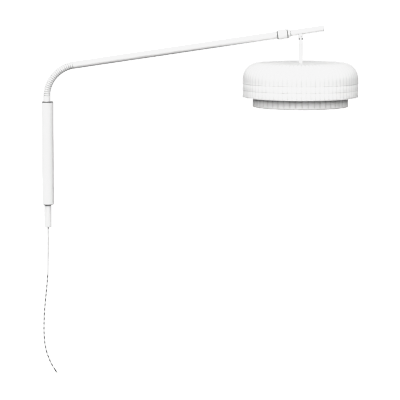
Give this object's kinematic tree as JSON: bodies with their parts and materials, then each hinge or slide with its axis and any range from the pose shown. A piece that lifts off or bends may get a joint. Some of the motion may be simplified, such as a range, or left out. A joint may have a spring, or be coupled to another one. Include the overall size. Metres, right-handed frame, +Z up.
{
  "type": "swing arm wall sconce",
  "caption": "Wall light with a bent arm that swings in a tall wall sleeve, a sliding inner tube locked by a nut, and a two-tier fluted shade that hangs on a pivot pin.",
  "frame": {"origin": "middle of the wall sleeve's flat back, on the wall", "axes": "+X out of the wall, +Z up, +Y to the left of someone who stands with their back to the wall"},
  "size_m": [1.2007, 0.44, 1.3228],
  "materials": {
    "sleeve_paint": "matt white powder coat on an aluminium extrusion",
    "tube_paint": "matt white powder coat on steel",
    "shade_paint": "matt white powder coat on fluted aluminium",
    "black_plastic": "moulded black nylon",
    "white_plastic": "moulded white plastic",
    "grey_plastic": "moulded grey plastic",
    "black_rubber": "matt black rubber",
    "bare_steel": "plated steel",
    "opal_acrylic": "satin opal acrylic",
    "bulb_opal": "opal bulb globe",
    "cord_braid": "light braided textile with dark flecks",
    "lead_sheath": "smooth white sheath",
    "core_brown": "brown core insulation",
    "core_blue": "blue core insulation",
    "core_green": "green and yellow core insulation"
  },
  "bodies": {
    "wall_mount": {"wall_sleeve": "sleeve_paint", "upper_bush": "black_plastic", "lower_bush": "black_plastic", "upper_access_plug": "white_plastic", "lower_access_plug": "white_plastic"},
    "arm": {"arm_tube": "tube_paint", "retaining_ring": "bare_steel", "stub_plug": "white_plastic", "cord_gland": "black_rubber", "arm_lead": "lead_sheath", "supply_cord": "cord_braid", "cord_end_sleeve": "black_rubber", "live_core": "core_brown", "neutral_core": "core_blue", "earth_core": "core_green", "clamp_collar": "tube_paint", "collar_rear_ring": "black_rubber", "collar_front_ring": "black_rubber", "split_collet": "white_plastic"},
    "nut": {"locking_nut": "tube_paint"},
    "extension": {"inner_tube": "tube_paint", "guide_plug": "white_plastic", "inner_lead": "lead_sheath", "end_cap": "grey_plastic", "hanger_fork": "tube_paint", "pivot_pin": "bare_steel"},
    "pendant": {"stem_eye": "tube_paint", "stem_tube": "tube_paint", "threaded_nipple": "bare_steel", "stem_lead": "lead_sheath", "outer_shade": "shade_paint", "shade_washer": "bare_steel", "shade_lock_nut": "bare_steel", "drum_spider": "tube_paint", "drum_screw_1": "bare_steel", "drum_screw_2": "bare_steel", "drum_screw_3": "bare_steel", "inner_drum": "shade_paint", "opal_diffuser": "opal_acrylic", "lamp_holder": "white_plastic", "bulb_cap": "bare_steel", "bulb_globe": "bulb_opal"}
  },
  "joints": [
    {"name": "arm_swing", "type": "hinge", "parent": "wall_mount", "child": "arm", "pos_m": [0.019, 0, 0], "axis": [0, 0, 1], "range_deg": [-75, 75]},
    {"name": "nut_turn", "type": "hinge", "parent": "arm", "child": "nut", "pos_m": [0.93694, 0, 0.45489], "axis": [0.9894, 0, 0.1454], "range_deg": [-180, 0]},
    {"name": "arm_extension", "type": "slide", "parent": "arm", "child": "extension", "axis": [0.9894, 0, 0.1454], "range_m": [-0.025, 0.3]},
    {"name": "shade_swing", "type": "hinge", "parent": "extension", "child": "pendant", "pos_m": [0.9807, 0, 0.43963], "axis": [1, 0, 0], "range_deg": [-30, 30]}
  ]
}
